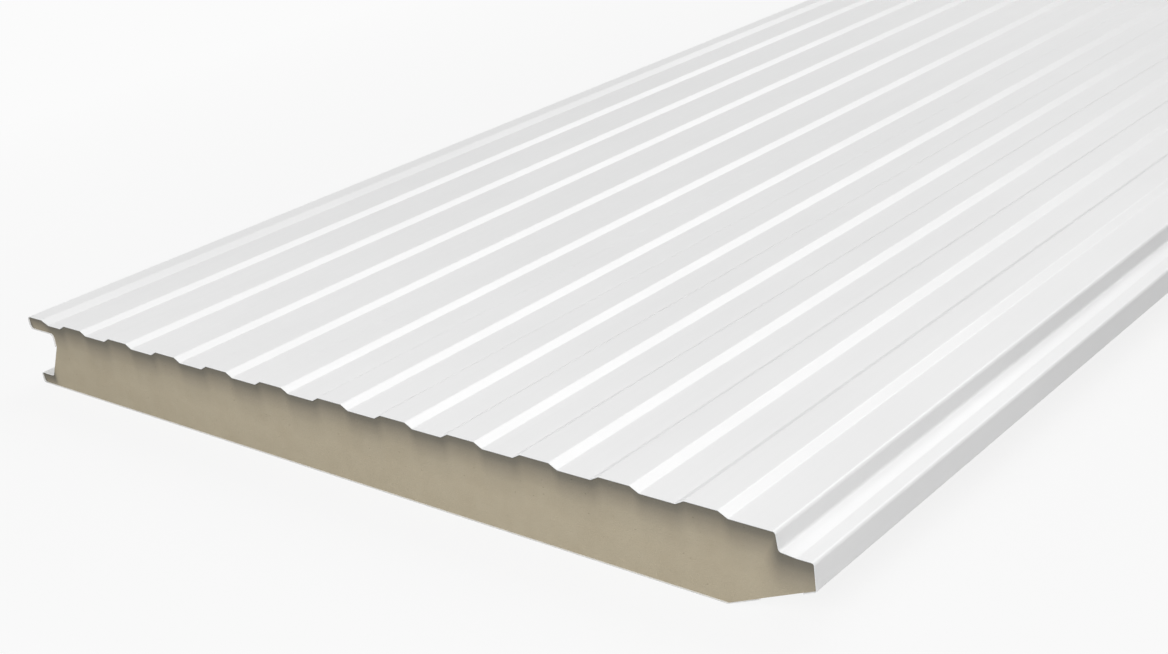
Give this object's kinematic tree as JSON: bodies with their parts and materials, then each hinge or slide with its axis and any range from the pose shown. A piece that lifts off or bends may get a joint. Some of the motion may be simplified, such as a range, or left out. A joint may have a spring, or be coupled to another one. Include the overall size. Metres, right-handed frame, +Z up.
{
  "type": "insulated sandwich panel",
  "caption": "Flat insulated wall panel: ribbed steel outer sheet and steel inner sheet on a rigid foam core, with a tongue and a groove for a hidden joint along its edges.",
  "frame": {"origin": "middle of the underside's bounding box, on the floor", "axes": "+Y along the panel's length, +X across its width from the groove to the tongue, +Z up from the inner sheet to the ribbed outer sheet"},
  "size_m": [1.027, 3, 0.08],
  "materials": {
    "outer_sheet_paint": "satin polyester paint, white",
    "foam": "sawn rigid foam, beige",
    "inner_sheet_paint": "satin polyester paint, white"
  },
  "bodies": {
    "root": {"outer_facing_sheet": "outer_sheet_paint", "foam_core": "foam", "inner_facing_sheet": "inner_sheet_paint"}
  },
  "joints": []
}
